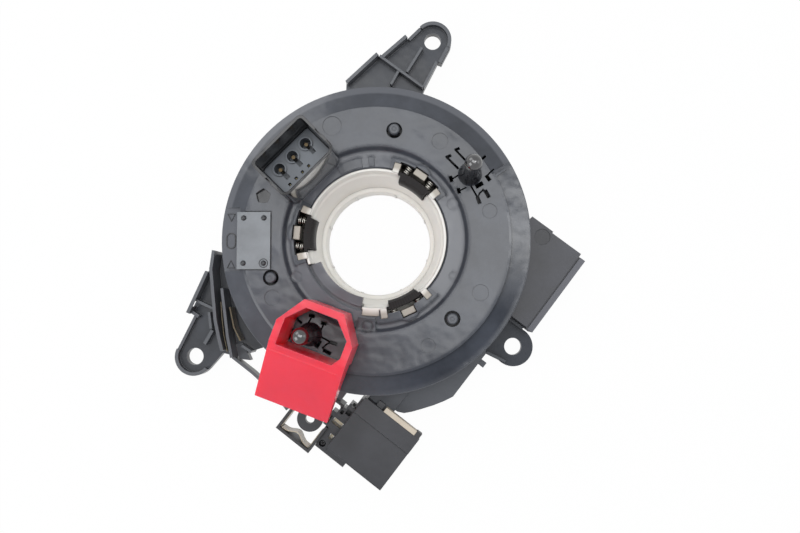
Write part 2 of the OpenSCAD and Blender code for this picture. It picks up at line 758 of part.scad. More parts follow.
// Curved jaw that springs inwards against the collar, with a flange behind that stops it
module jaw(a) {
    color([0.1, 0.1, 0.11]) rotate([0, 0, a]) difference() {
        intersection() {
            rotate_extrude($fn = fine) polygon([
                [jaw_in + 0.7, jaw_z], [jaw_out, jaw_z], [jaw_out, jaw_top], [jaw_in + 0.9, jaw_top],
                [jaw_in, jaw_top - 2], [jaw_in, jaw_z + 1.4]
            ]);
            linear_extrude(40) wedge(-jaw_flange_half, jaw_flange_half);
        }
        // Corners that leave only the flange behind
        for (s = [-1, 1]) translate([0, 0, jaw_z - cut]) linear_extrude(20) intersection() {
            circle(r = jaw_flange_r, $fn = fine);
            wedge(s > 0 ? jaw_half : -30, s > 0 ? 30 : -jaw_half);
        }
    }
}

// Coil spring as a swept tube along its own axis, lying along the jaw's travel
function coil_ring(k, len) =
    let (a = 360 * k / spring_steps, x = wire_r + (len - 2 * wire_r) * k / (spring_turns * spring_steps))
        [for (j = [0:wire_sides - 1]) let (b = 360 * j / wire_sides, r = spring_r + wire_r * cos(b))
            [x + wire_r * sin(b), r * cos(a), r * sin(a)]];

module coil_spring(len) {
    rings = spring_turns * spring_steps;
    points = [for (k = [0:rings]) each coil_ring(k, len)];
    sides = [for (k = [0:rings - 1], j = [0:wire_sides - 1])
        let (n = (j + 1) % wire_sides, here = k * wire_sides, next = here + wire_sides)
            each [[here + j, here + n, next + n], [here + j, next + n, next + j]]];
    first = [for (j = [wire_sides - 1:-1:0]) j];
    last = [for (j = [0:wire_sides - 1]) rings * wire_sides + j];
    polyhedron(points, concat(sides, [first, last]), convexity = 6);
}

module jaw_springs(a) {
    color([0.6, 0.6, 0.58]) rotate([0, 0, a]) for (s = [-1, 1])
        translate([spring_start, s * spring_side, spring_z]) coil_spring(spring_len);
}

// Insert in the rotor connector, with three keyed holes and four small ones
module connector_insert() {
    color([0.5, 0.54, 0.6]) polar(shroud_at, shroud_angle) difference() {
        union() {
            translate([0, 0, insert_low + 0.02]) linear_extrude(insert_top - insert_low)
                shroud_outline(shroud_w - 2 * shroud_wall - 0.3, shroud_d - 2 * shroud_wall - 0.3, 1.1);
            for (i = [-1:1]) translate([airbag_at, airbag_gap * i, insert_top])
                cylinder(r = 2.5, h = 0.7, $fn = 32);
        }
        for (i = [-1:1]) {
            translate([airbag_at, airbag_gap * i, pin_low]) cylinder(r = 1.9, h = 20, $fn = 32);
            translate([airbag_at - 4.4, airbag_gap * i - 0.8, pin_low]) cube([4.4, 1.6, 20]);
        }
        for (i = [0:3]) translate([switch_at - 0.5, switch_mid + switch_gap * (i - 1.5) - 0.5, pin_low])
            cube([1, 1, 20]);
        // Lower step along the outer side
        translate([insert_step, -shroud_w, insert_top - 1]) cube([5, 2 * shroud_w, 5]);
    }
}

// Contacts in the insert: three round, four square
module airbag_pins() {
    color([0.8, 0.66, 0.3]) polar(shroud_at, shroud_angle) for (i = [-1:1])
        translate([airbag_at, airbag_gap * i, pin_low]) cylinder(r = 0.7, h = 4.5, $fn = 24);
}

module switch_pins() {
    color([0.8, 0.66, 0.3]) polar(shroud_at, shroud_angle) for (i = [0:3])
        translate([switch_at - 0.32, switch_mid + switch_gap * (i - 1.5) - 0.32, pin_low])
            cube([0.64, 0.64, 4.8]);
}

// Riveted plate beside the strip with the turning signs
module index_plate() {
    color([0.58, 0.61, 0.64]) difference() {
        translate([plate_x - plate_w / 2, plate_y - plate_l / 2, face_z - 0.6])
            cube([plate_w, plate_l, 0.6 + plate_proud]);
        for (sx = [-1, 1], sy = [-1, 1])
            translate([plate_x + sx * rivet_dx, plate_y + sy * rivet_dy, face_z - 2])
                cylinder(r = 0.95, h = 5, $fn = 32);
    }
}

module index_rivets() {
    color([0.4, 0.42, 0.45]) for (sx = [-1, 1], sy = [-1, 1])
        translate([plate_x + sx * rivet_dx, plate_y + sy * rivet_dy, face_z - 0.6]) rotate_extrude($fn = 32)
            polygon([[0, 0], [0.9, 0], [0.9, 0.9], [0.6, 1.3], [0, 1.4]]);
}

// Red transport lock: a six-sided tube over the second post, with a grip tab past the rim
function lock_outline(inset) = [
    [lock_mid - lock_half + inset, lock_front - inset],
    [lock_mid - lock_half + inset, lock_side - 0.55 * inset],
    [lock_mid - lock_nose + 0.6 * inset, lock_back + inset],
    [lock_mid + lock_nose - 0.6 * inset, lock_back + inset],
    [lock_mid + lock_half - inset, lock_side - 0.55 * inset],
    [lock_mid + lock_half - inset, lock_front - inset - 3],
    [lock_mid + lock_half - inset - 2, lock_front - inset]
];

// Shape drawn in the lock's side view, x towards the rim and y up, and pulled across its width
module lock_side_shape(x, width, points) {
    translate([x, 0, 0]) rotate([90, 0, 90]) linear_extrude(width) polygon(points);
}

module transport_lock() {
    cheek = 1.6;
    tab_low = lock_top - tab_drop;
    color([0.86, 0.09, 0.13]) polar(post_circle_r, post_angles[1])
        rotate([0, 0, lock_turn - post_angles[1]]) mirror([0, 1, 0]) difference() {
            union() {
                translate([0, 0, face_z]) linear_extrude(lock_h - 1.6) polygon(lock_outline(0));
                translate([0, 0, face_z]) linear_extrude(lock_h) intersection() {
                    polygon(lock_outline(0));
                    translate([-20, -20]) square([60, 20 + lock_crease]);
                }
                // Grip tab, sloping down past the rim, with a cheek along each side
                lock_side_shape(lock_mid - lock_half, 2 * lock_half, [
                    [lock_crease - 1, lock_top], [lock_crease, lock_top], [tab_end - 1, tab_low],
                    [tab_end, tab_low - 0.8], [tab_end, tab_low - tab_t],
                    [lock_crease - 1, lock_top - tab_t - 0.6]
                ]);
                for (x = [lock_mid - lock_half, lock_mid + lock_half - cheek]) lock_side_shape(x, cheek, [
                    [lock_crease, lock_top - 1], [tab_end, tab_low - 1.2], [tab_end, tab_low - 4],
                    [lock_crease, lock_top - 14]
                ]);
                // Finger beside the rim
                translate([lock_mid - 4, 16.6, rim_z - 2]) cube([8, 2.2, 16]);
            }
            translate([0, 0, face_z - cut]) linear_extrude(lock_h + 2 * cut)
                polygon(lock_outline(lock_wall));
        }
}

stator_housing();
back_cover();
flat_cable();
outer_cable_clip();
cable_tail();
right_connector();
right_connector_pins();
bottom_connector();
bottom_connector_lid();
bottom_connector_pins();
contact_strip();
contact_strip_stop();
bracket_frame();
eyelet();
rotor_cover();
spool_drum();
hub_ring();
inner_cable_clip();
connector_insert();
airbag_pins();
switch_pins();
index_plate();
index_rivets();
jaw(jaw_angles[0]);  // jaw_1
jaw(jaw_angles[1]);  // jaw_2
jaw(jaw_angles[2]);  // jaw_3
jaw_springs(jaw_angles[0]);  // jaw_springs_1
jaw_springs(jaw_angles[1]);  // jaw_springs_2
jaw_springs(jaw_angles[2]);  // jaw_springs_3
transport_lock();
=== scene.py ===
import math

import bmesh
import bpy
from mathutils import Matrix, Vector


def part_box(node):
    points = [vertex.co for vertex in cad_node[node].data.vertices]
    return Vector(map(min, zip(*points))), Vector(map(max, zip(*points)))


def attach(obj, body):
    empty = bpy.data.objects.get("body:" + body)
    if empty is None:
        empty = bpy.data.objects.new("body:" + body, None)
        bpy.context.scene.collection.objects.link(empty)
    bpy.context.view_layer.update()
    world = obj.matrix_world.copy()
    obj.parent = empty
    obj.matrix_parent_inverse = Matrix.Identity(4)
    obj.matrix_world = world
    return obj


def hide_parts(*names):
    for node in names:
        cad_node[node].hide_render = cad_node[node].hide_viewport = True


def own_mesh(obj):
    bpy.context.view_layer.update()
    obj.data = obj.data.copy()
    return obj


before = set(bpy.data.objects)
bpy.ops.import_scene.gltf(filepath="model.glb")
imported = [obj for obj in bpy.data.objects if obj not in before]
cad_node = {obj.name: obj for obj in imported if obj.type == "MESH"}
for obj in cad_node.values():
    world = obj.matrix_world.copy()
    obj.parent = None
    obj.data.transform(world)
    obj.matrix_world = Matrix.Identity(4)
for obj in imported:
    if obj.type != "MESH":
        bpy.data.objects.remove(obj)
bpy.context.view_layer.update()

# The stage. The part lies on a white table in a tent of soft light, photographed from 27 cm above.
# The camera stands a little to the right of the bore and below it, and leans 4 degrees.
mm = 0.001
scene = bpy.context.scene
scene.view_settings.view_transform = "Standard"

camera_place = Vector((18.3, -24.3, 269.9)) * mm
camera_aim = Vector((8.7, -9.5, 20.0)) * mm
photo_width_px = 800
focal_px = 700
sensor_width = 36.0

table_top = -0.45 * mm
table_half = 2.0
table_albedo = 0.82
table_glow = 0.97

tent_colour, tent_strength = (0.96, 0.98, 1.0, 1), 0.50
backdrop_colour = (0.90, 0.90, 0.90, 1)

lamp_colour = (0.98, 0.99, 1.0)
overhead_place, overhead_size, overhead_radiance = Vector((0.04, 0.085, 0.72)), (0.60, 0.34), 3.15
key_place, key_size, key_radiance = Vector((-0.42, 0.52, 0.50)), (0.45, 0.45), 1.9
fill_place, fill_size, fill_radiance = Vector((-0.52, -0.30, 0.50)), (0.45, 0.45), 2.7
right_place, right_size, right_radiance = Vector((0.32, 0.12, 0.70)), (0.14, 0.20), 4.0
side_place, side_size, side_radiance = Vector((0.60, 0.05, 0.35)), (0.35, 0.35), 0.9


def add(tree, kind, sockets=None, **settings):
    """A node with its settings, each socket linked to a socket that is given or set to a value."""
    node = tree.nodes.new(kind)
    for name, value in settings.items():
        setattr(node, name, value)
    for name, value in (sockets or {}).items():
        if isinstance(value, bpy.types.NodeSocket):
            tree.links.new(value, node.inputs[name])
        else:
            node.inputs[name].default_value = value
    return node


def worked(tree, operation, *numbers):
    """A number worked out from others."""
    numbers = dict(enumerate(numbers))
    return add(tree, "ShaderNodeMath", numbers, operation=operation).outputs["Value"]


def make_camera():
    """The camera, with the photograph's focal length."""
    data = bpy.data.cameras.new("camera")
    data.sensor_width = sensor_width
    data.lens = focal_px * sensor_width / photo_width_px
    camera = bpy.data.objects.new("camera", data)
    scene.collection.objects.link(camera)
    view = (camera_aim - camera_place).normalized()
    right = view.cross(Vector((0, 1, 0))).normalized()
    up = right.cross(view)
    turn = Matrix((right, up, -view)).transposed().to_4x4()
    camera.matrix_world = Matrix.Translation(camera_place) @ turn
    scene.camera = camera


def add_softbox(name, place, size, radiance):
    """A soft rectangular lamp of an even radiance that faces the part."""
    data = bpy.data.lights.new(name, "AREA")
    data.shape = "RECTANGLE"
    data.size, data.size_y = size
    data.energy = radiance * size[0] * size[1] * math.pi
    data.color = lamp_colour
    light = bpy.data.objects.new(name, data)
    scene.collection.objects.link(light)
    light.location = place
    light.rotation_euler = (-place).to_track_quat("-Z", "Y").to_euler()


def seen_directly(tree):
    """1 on a ray from the camera, a mirror or clear plastic, and 0 on a ray that lights things."""
    path = add(tree, "ShaderNodeLightPath").outputs
    seen = worked(tree, "MAXIMUM", path["Is Camera Ray"], path["Is Glossy Ray"])
    return worked(tree, "MAXIMUM", seen, path["Is Transmission Ray"])


def make_table():
    """The white table, which looks white itself and still takes the part's shadow."""
    mesh = bpy.data.meshes.new("table")
    corners = ((-1, -1), (1, -1), (1, 1), (-1, 1))
    points = [(x * table_half, y * table_half, table_top) for x, y in corners]
    mesh.from_pydata(points, [], [(0, 1, 2, 3)])
    table = bpy.data.objects.new("table", mesh)
    scene.collection.objects.link(table)
    material = bpy.data.materials.new("white_table")
    material.use_nodes = True
    tree = material.node_tree
    tree.nodes.clear()
    matt = add(tree, "ShaderNodeBsdfDiffuse", {"Color": (*[table_albedo] * 3, 1)})
    glow = add(tree, "ShaderNodeEmission")
    share = worked(tree, "MULTIPLY", seen_directly(tree), table_glow)
    skin = add(tree, "ShaderNodeMixShader", {"Fac": share, 1: matt.outputs[0], 2: glow.outputs[0]})
    add(tree, "ShaderNodeOutputMaterial", {"Surface": skin.outputs[0]})
    mesh.materials.append(material)


def make_tent():
    """The tent's soft light, and the pale cloth that is seen behind the part."""
    world = bpy.data.worlds.new("tent")
    world.use_nodes = True
    scene.world = world
    tree = world.node_tree
    tree.nodes.clear()
    lit = add(tree, "ShaderNodeBackground", {"Color": tent_colour, "Strength": tent_strength})
    seen = add(tree, "ShaderNodeBackground", {"Color": backdrop_colour})
    sky = add(tree, "ShaderNodeMixShader", {
        "Fac": seen_directly(tree), 1: lit.outputs[0], 2: seen.outputs[0]})
    add(tree, "ShaderNodeOutputWorld", {"Surface": sky.outputs[0]})


make_camera()
make_table()
make_tent()
add_softbox("overhead_softbox", overhead_place, overhead_size, overhead_radiance)
add_softbox("key_softbox", key_place, key_size, key_radiance)
add_softbox("fill_softbox", fill_place, fill_size, fill_radiance)
add_softbox("right_softbox", right_place, right_size, right_radiance)
add_softbox("side_softbox", side_place, side_size, side_radiance)

# The fixed housing. One moulding of black glass-filled polyester: a drum wall with three screw
# ears, cable guides and lugs. Its faces are spark-eroded to a fine satin, with soft corners from
# the tool that are painted paler, partly as handling wear and partly as a painted highlight.
# Its hollows and inner corners are darkened with painted shade.
weld_gap = 0.002 * mm
crease_deg = 27
level_limit = 0.9998

corner_r, drum_corner_r = 0.16 * mm, 0.35 * mm
grain_depth, grain_scale = 0.02 * mm, 5200
wave_depth, drum_wave, wave_scale = 0.10 * mm, 0.35 * mm, 95
cloud_scale, cloud_detail, cloud_roughness = 46, 5, 0.62
cloud_from, cloud_to = 0.32, 0.70
bevel_samples, hollow_samples, fine_detail = 6, 6, 2
rub_lit_from, rub_lit_to, rub_lit_share = 0.985, 0.80, 0.6
hollow_reach, hollow_tone = 1.1 * mm, 0.35
hollow_from, hollow_to, hollow_share = 0.88, 0.45, 0.65
shinier, duller = 0.06, 0.07
plain_specular = 0.5
ear_level = 5 * mm


def ramped(tree, measure, start, end, low=0.0, high=1.0):
    """A number that goes from low to high while a measure goes from start to end."""
    return add(tree, "ShaderNodeMapRange", {
        "Value": measure, "From Min": start, "From Max": end, "To Min": low, "To Max": high,
    }).outputs["Result"]


def mixed(tree, share, first, colour):
    """A colour that another one takes over by a share."""
    return add(tree, "ShaderNodeMix", {
        "Factor": share, "A": first, "B": (*colour, 1)}, data_type="RGBA").outputs["Result"]


def satin_plastic(name, colour, roughness, edge, grain=0.5, cloud=0.18, corner=corner_r,
                  wave=wave_depth):
    """Moulded plastic: fine eroded grain, clouds, shallow sink waves, round corners painted paler as
    wear and as a painted highlight, and painted shade in hollows.
    """
    material = bpy.data.materials.new(name)
    material.use_nodes = True
    tree = material.node_tree
    shader = tree.nodes["Principled BSDF"].inputs
    place = add(tree, "ShaderNodeTexCoord").outputs["Object"]

    clouds = add(tree, "ShaderNodeTexNoise", {
        "Vector": place, "Scale": cloud_scale, "Detail": cloud_detail,
        "Roughness": cloud_roughness,
    }).outputs["Fac"]
    tone = add(tree, "ShaderNodeValToRGB", {"Fac": clouds})
    dark, pale = tone.color_ramp.elements
    dark.position, pale.position = cloud_from, cloud_to
    dark.color = (*[c * (1 - cloud) for c in colour], 1)
    pale.color = (*[min(1, c * (1 + cloud)) for c in colour], 1)

    rounded = add(tree, "ShaderNodeBevel", {"Radius": corner}, name="rounded", samples=bevel_samples)
    skin = add(tree, "ShaderNodeNewGeometry")
    along = add(tree, "ShaderNodeVectorMath", {
        0: rounded.outputs["Normal"], 1: skin.outputs["Normal"]}, operation="DOT_PRODUCT")
    # The round corners take the edge colour: partly handling wear, partly a painted highlight.
    rub_and_highlight = ramped(tree, along.outputs["Value"], rub_lit_from, rub_lit_to, high=rub_lit_share)
    paler = mixed(tree, rub_and_highlight, tone.outputs["Color"], edge)
    # Painted shade: the colour darkens in hollows and inner corners, where the surface is closed in.
    hollow = add(tree, "ShaderNodeAmbientOcclusion", {
        "Distance": hollow_reach}, samples=hollow_samples)
    hollow_shade = ramped(tree, hollow.outputs["AO"], hollow_from, hollow_to, high=hollow_share)
    deeper = mixed(tree, hollow_shade, paler, [c * hollow_tone for c in colour])
    tree.links.new(deeper, shader["Base Color"])

    sheen = add(tree, "ShaderNodeMapRange", {
        "Value": clouds, "To Min": roughness - shinier, "To Max": roughness + duller,
    }, name="sheen_range")
    tree.links.new(sheen.outputs["Result"], shader["Roughness"])

    eroded = add(tree, "ShaderNodeTexNoise", {
        "Vector": place, "Scale": grain_scale, "Detail": fine_detail})
    sunk = add(tree, "ShaderNodeTexNoise", {
        "Vector": place, "Scale": wave_scale, "Detail": fine_detail})
    waves = add(tree, "ShaderNodeBump", {
        "Height": sunk.outputs["Fac"], "Distance": wave, "Normal": rounded.outputs["Normal"],
    }, name="sink_waves")
    bump = add(tree, "ShaderNodeBump", {
        "Height": eroded.outputs["Fac"], "Distance": grain_depth, "Strength": grain,
        "Normal": waves.outputs["Normal"]})
    tree.links.new(bump.outputs["Normal"], shader["Normal"])
    return material


def moulding(node, name, body, material):
    """A CAD node's skin welded into one mesh: level faces flat, curves smooth, corners sharp."""
    mesh = cad_node[node].data.copy()
    mesh.name = name
    mesh.attributes.remove(mesh.attributes["custom_normal"])
    skin = bmesh.new()
    skin.from_mesh(mesh)
    bmesh.ops.remove_doubles(skin, verts=skin.verts, dist=weld_gap)
    bmesh.ops.dissolve_degenerate(skin, edges=skin.edges, dist=weld_gap)
    for face in skin.faces:
        face.smooth = True
    for edge in skin.edges:
        level = {abs(face.normal.z) > level_limit for face in edge.link_faces}
        bent = edge.calc_face_angle(math.pi) >= math.radians(crease_deg)
        edge.smooth = len(level) == 1 and not bent
    skin.to_mesh(mesh)
    skin.free()
    mesh.materials.clear()
    mesh.materials.append(material)
    piece = bpy.data.objects.new(name, mesh)
    scene.collection.objects.link(piece)
    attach(piece, body)
    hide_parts(node)
    return piece


def shaded_point(tree):
    """Where a shaded point lies."""
    return tree.nodes["Texture Coordinate"].outputs["Object"]


def turned_back(tree, angle):
    """Where a shaded point would lie with the part turned back about its axis."""
    return add(tree, "ShaderNodeVectorRotate", {
        "Vector": shaded_point(tree), "Angle": -angle}, rotation_type="Z_AXIS").outputs["Vector"]


def above_table(tree):
    """The height of a shaded point."""
    return add(tree, "ShaderNodeSeparateXYZ", {"Vector": shaded_point(tree)}).outputs["Z"]


def from_axis(tree):
    """The distance of a shaded point from the part's axis."""
    place = add(tree, "ShaderNodeSeparateXYZ", {"Vector": shaded_point(tree)}).outputs
    flat = add(tree, "ShaderNodeCombineXYZ", {"X": place["X"], "Y": place["Y"]})
    reach = add(tree, "ShaderNodeVectorMath", {0: flat.outputs["Vector"]}, operation="LENGTH")
    return reach.outputs["Value"]


def bearing(tree, point):
    """The angle at which a point lies about the part's axis."""
    place = add(tree, "ShaderNodeSeparateXYZ", {"Vector": point}).outputs
    return worked(tree, "ARCTAN2", place["Y"], place["X"])


def tint_between(material, measure, start, end, colour):
    """Lets a plastic take another colour from one distance or height to another."""
    tree = material.node_tree
    base = tree.nodes["Principled BSDF"].inputs["Base Color"]
    share = ramped(tree, measure(tree), start, end)
    tree.links.new(mixed(tree, share, base.links[0].from_socket, colour), base)


def dull_sector(material, middle_r, half_width, middle_deg, half_deg, soft_deg, specular):
    """Takes the sheen off a ring of a plastic, in a sector with soft edges."""
    tree = material.node_tree
    off_ring = worked(tree, "ABSOLUTE", worked(tree, "SUBTRACT", from_axis(tree), middle_r))
    on_ring = ramped(tree, off_ring, half_width, 0.5 * half_width)
    turned = turned_back(tree, math.radians(middle_deg))
    off_middle = worked(tree, "ABSOLUTE", bearing(tree, turned))
    facing = ramped(tree, off_middle, math.radians(half_deg + soft_deg), math.radians(half_deg))
    share = worked(tree, "MULTIPLY", on_ring, facing)
    level = ramped(tree, share, 0, 1, low=plain_specular, high=specular)
    tree.links.new(level, tree.nodes["Principled BSDF"].inputs["Specular IOR Level"])


drum_black = satin_plastic("drum_black", colour=(0.030, 0.034, 0.043), roughness=0.32,
                           edge=(0.30, 0.31, 0.34), cloud=0.4, corner=drum_corner_r,
                           wave=drum_wave)
# Painted light: above the ears' level the drum is painted lighter, standing in for light on its
# upper walls and tops.
tint_between(drum_black, above_table, ear_level + 0.5 * mm, ear_level + 1.8 * mm,
             colour=(0.088, 0.093, 0.104))
dull_sector(drum_black, middle_r=75 * mm, half_width=44 * mm, middle_deg=-58, half_deg=28,
            soft_deg=20, specular=0.18)
moulding("stator_housing", "housing_moulding", "housing", drum_black)

# The back cover. A flat moulded disc of the same black plastic with its own plainer skin, snapped
# into the drum from behind to close it over the ribbon.
housing_black = satin_plastic("housing_black", colour=(0.026, 0.027, 0.032), roughness=0.34,
                              edge=(0.14, 0.145, 0.165), cloud=0.35)
moulding("back_cover", "back_cover_plate", "housing", housing_black)

# The ribbon cable. Amber polyester film laminated over flat copper, wound in a spiral in the drum.
# Its two ends sit in moulded clips, and two tails leave the drum between the guides on the left.
ribbon_film = satin_plastic("ribbon_film", colour=(0.13, 0.10, 0.055), roughness=0.20,
                            edge=(0.80, 0.66, 0.40), grain=0.15, cloud=0.4)
clip_black = satin_plastic("clip_black", colour=(0.022, 0.022, 0.025), roughness=0.44,
                           edge=(0.09, 0.09, 0.10))
moulding("flat_cable", "ribbon_spiral", "housing", ribbon_film)
moulding("cable_tail", "ribbon_tails", "housing", ribbon_film)
moulding("outer_cable_clip", "outer_ribbon_clip", "housing", clip_black)
moulding("inner_cable_clip", "inner_ribbon_clip", "rotor", clip_black)

# The side connector. A black moulded socket let into the drum's side, with two rows of eight
# square brass contacts, each pressed in from behind and pointed at its free end.
side_turn = math.radians(-36.9)
side_first_pin = Vector((55.0, 12.92, 6.32)) * mm
side_recess, side_recess_r = Vector((47.3, 37.4, 14.2)) * mm, 2.95 * mm
side_lip_lit_from = 62.6 * mm
tint_edge = 0.2 * mm
contact_w, contact_tip_share = 0.64 * mm, 0.25


def about_z(angle, point):
    """A point turned about the part's axis."""
    return Matrix.Rotation(angle, 3, "Z") @ point


def along_side(tree):
    """How far out a shaded point is towards the side socket's mouth."""
    turned = turned_back(tree, side_turn)
    return add(tree, "ShaderNodeSeparateXYZ", {"Vector": turned}).outputs["X"]


def from_spot(spot):
    """A measure of the distance of a shaded point from a spot."""
    def measure(tree):
        return add(tree, "ShaderNodeVectorMath", {
            0: shaded_point(tree), 1: spot}, operation="DISTANCE").outputs["Value"]
    return measure


def set_skin(material, values):
    """Sets plain values on a material's own shader."""
    for name, value in values.items():
        material.node_tree.nodes["Principled BSDF"].inputs[name].default_value = value


def new_tree(name, sizes):
    """A geometry tree with a named input for each size, a place, a turn and a finish."""
    tree = bpy.data.node_groups.new(name, "GeometryNodeTree")
    setting = {"Place": "Vector", "Turn": "Vector", "Finish": "Material"}
    for size, kind in {**sizes, **setting}.items():
        tree.interface.new_socket(size, in_out="INPUT", socket_type="NodeSocket" + kind)
    tree.interface.new_socket("Geometry", in_out="OUTPUT", socket_type="NodeSocketGeometry")
    return tree, tree.nodes.new("NodeGroupInput").outputs


def at(tree, x=0.0, y=0.0, z=0.0):
    """A place or a size, from its three numbers."""
    return add(tree, "ShaderNodeCombineXYZ", {"X": x, "Y": y, "Z": z}).outputs["Vector"]


def moved(tree, shape, place=(0, 0, 0), turn=(0, 0, 0), scale=(1, 1, 1)):
    """A shape scaled, turned and put at a place."""
    return add(tree, "GeometryNodeTransform", {
        "Geometry": shape, "Translation": place, "Rotation": turn, "Scale": scale,
    }).outputs["Geometry"]


def joined(tree, *shapes):
    """Shapes joined into one."""
    join = add(tree, "GeometryNodeJoinGeometry")
    for shape in shapes:
        tree.links.new(shape, join.inputs["Geometry"])
    return join.outputs["Geometry"]


def on_points(tree, points, shape, **turned):
    """A shape set on each point of another."""
    return add(tree, "GeometryNodeInstanceOnPoints", {
        "Points": points, "Instance": shape, **turned}).outputs["Instances"]


def in_a_line(tree, count, step, start=(0, 0, 0)):
    """Points spaced evenly on a line."""
    return add(tree, "GeometryNodeMeshLine", {
        "Count": count, "Start Location": start, "Offset": step}).outputs["Mesh"]


def cone(tree, sides, foot_r, top_r, height):
    """A cone or a round bar that stands on z = 0."""
    return add(tree, "GeometryNodeMeshCone", {
        "Vertices": sides, "Radius Bottom": foot_r, "Radius Top": top_r, "Depth": height,
    }).outputs["Mesh"]


def end_tree(tree, given, shape):
    """Puts what was made at its place, realizes it and gives it its finish."""
    put = moved(tree, shape, given["Place"], given["Turn"])
    real = add(tree, "GeometryNodeRealizeInstances", {"Geometry": put})
    finished = add(tree, "GeometryNodeSetMaterial", {
        "Geometry": real.outputs["Geometry"], "Material": given["Finish"]})
    add(tree, "NodeGroupOutput", {"Geometry": finished.outputs["Geometry"]})
    return tree


def settle(piece):
    """Turns what a piece's modifiers make into its own plain mesh."""
    graph = bpy.context.evaluated_depsgraph_get()
    grown = bpy.data.meshes.new_from_object(
        piece.evaluated_get(graph), preserve_all_data_layers=True, depsgraph=graph)
    grown.name = piece.name
    piece.modifiers.clear()
    piece.data = grown


def grow(tree, name, sizes, body, replaces=None, crease=30):
    """A piece grown by a tree from its sizes, made a plain mesh that rides on a body."""
    piece = bpy.data.objects.new(name, bpy.data.meshes.new(name))
    scene.collection.objects.link(piece)
    growth = piece.modifiers.new("growth", "NODES")
    growth.node_group = tree
    for item in tree.interface.items_tree:
        if item.in_out == "INPUT" and item.name in sizes:
            growth[item.identifier] = sizes[item.name]
    settle(piece)
    piece.data.shade_smooth()
    piece.data.set_sharp_from_angle(angle=math.radians(crease))
    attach(piece, body)
    if replaces:
        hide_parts(replaces)
    return piece


def contact_tree():
    """Pointed square contacts on a grid, each standing along z."""
    tree, given = new_tree("contact_field", {
        "Columns": "Int", "Rows": "Int", "Column step": "Vector", "Row step": "Vector",
        "Width": "Float", "Shaft": "Float", "Point": "Float"})
    size = at(tree, given["Width"], given["Width"], given["Shaft"])
    shaft = add(tree, "GeometryNodeMeshCube", {"Size": size}).outputs["Mesh"]
    shaft_up = moved(tree, shaft, at(tree, z=worked(tree, "MULTIPLY", given["Shaft"], 0.5)))
    foot_r = worked(tree, "MULTIPLY", given["Width"], math.sqrt(0.5))
    tip_r = worked(tree, "MULTIPLY", given["Width"], contact_tip_share)
    point = cone(tree, 4, foot_r, tip_r, given["Point"])
    point_up = moved(tree, point, at(tree, z=given["Shaft"]), (0, 0, math.radians(45)))
    row = in_a_line(tree, given["Rows"], given["Row step"])
    column = in_a_line(tree, given["Columns"], given["Column step"])
    rows = on_points(tree, column, row)
    spots = add(tree, "GeometryNodeRealizeInstances", {"Geometry": rows}).outputs["Geometry"]
    return end_tree(tree, given, on_points(tree, spots, joined(tree, shaft_up, point_up)))


contact_metal = satin_plastic("contact_metal", colour=(0.78, 0.64, 0.36), roughness=0.26,
                              edge=(0.88, 0.75, 0.48), grain=0.1, cloud=0.1)
set_skin(contact_metal, {"Metallic": 1.0})
contact_field = contact_tree()
side_black = satin_plastic("side_black", colour=(0.032, 0.033, 0.040), roughness=0.36,
                           edge=(0.14, 0.145, 0.165), cloud=0.5)
set_skin(side_black, {"Specular IOR Level": 0.38})
# Painted highlight: the socket's lip along its mouth is painted paler, as the light it catches.
tint_between(side_black, along_side, side_lip_lit_from, side_lip_lit_from + tint_edge,
             colour=(0.085, 0.087, 0.103))
tint_between(side_black, from_spot(about_z(side_turn, side_recess)), side_recess_r,
             side_recess_r - tint_edge, colour=(0.020, 0.021, 0.026))
moulding("right_connector", "side_socket", "housing", side_black)
grow(contact_field, "side_contacts", {
    "Columns": 8, "Rows": 2, "Column step": (0, 3 * mm, 0), "Row step": (-3.4 * mm, 0, 0),
    "Width": contact_w, "Shaft": 2.6 * mm, "Point": 0.6 * mm,
    "Place": about_z(side_turn, side_first_pin), "Turn": (0, math.radians(90), side_turn),
    "Finish": contact_metal,
}, "housing", "right_connector_pins")

# The bottom connector. A large black block with a lid, a comb of slots along the housing and two
# rows of contacts in the socket behind. A pale strip of tan plastic is folded over the long side
# and held by a black stop.
block_corner = Vector((1.25, -90.0, 0.0)) * mm
block_turn = math.radians(52.5)
main_first_pin = Vector((5.52, 4.92, 9.5)) * mm
tan_plastic = satin_plastic("tan_plastic", colour=(0.52, 0.46, 0.37), roughness=0.5,
                            edge=(0.40, 0.31, 0.22), corner=0.3 * mm)
moulding("bottom_connector", "main_socket", "housing", housing_black)
moulding("bottom_connector_lid", "main_socket_lid", "housing", housing_black)
grow(contact_field, "main_contacts", {
    "Columns": 6, "Rows": 2, "Column step": (0, -3 * mm, 0), "Row step": (4.4 * mm, 0, 0),
    "Width": contact_w, "Shaft": 4.0 * mm, "Point": 0.7 * mm,
    "Place": block_corner + about_z(block_turn, main_first_pin), "Turn": (math.pi, 0, block_turn),
    "Finish": contact_metal,
}, "housing", "bottom_connector_pins")
moulding("contact_strip", "pale_strip", "housing", tan_plastic)
moulding("contact_strip_stop", "strip_stop", "housing", clip_black)

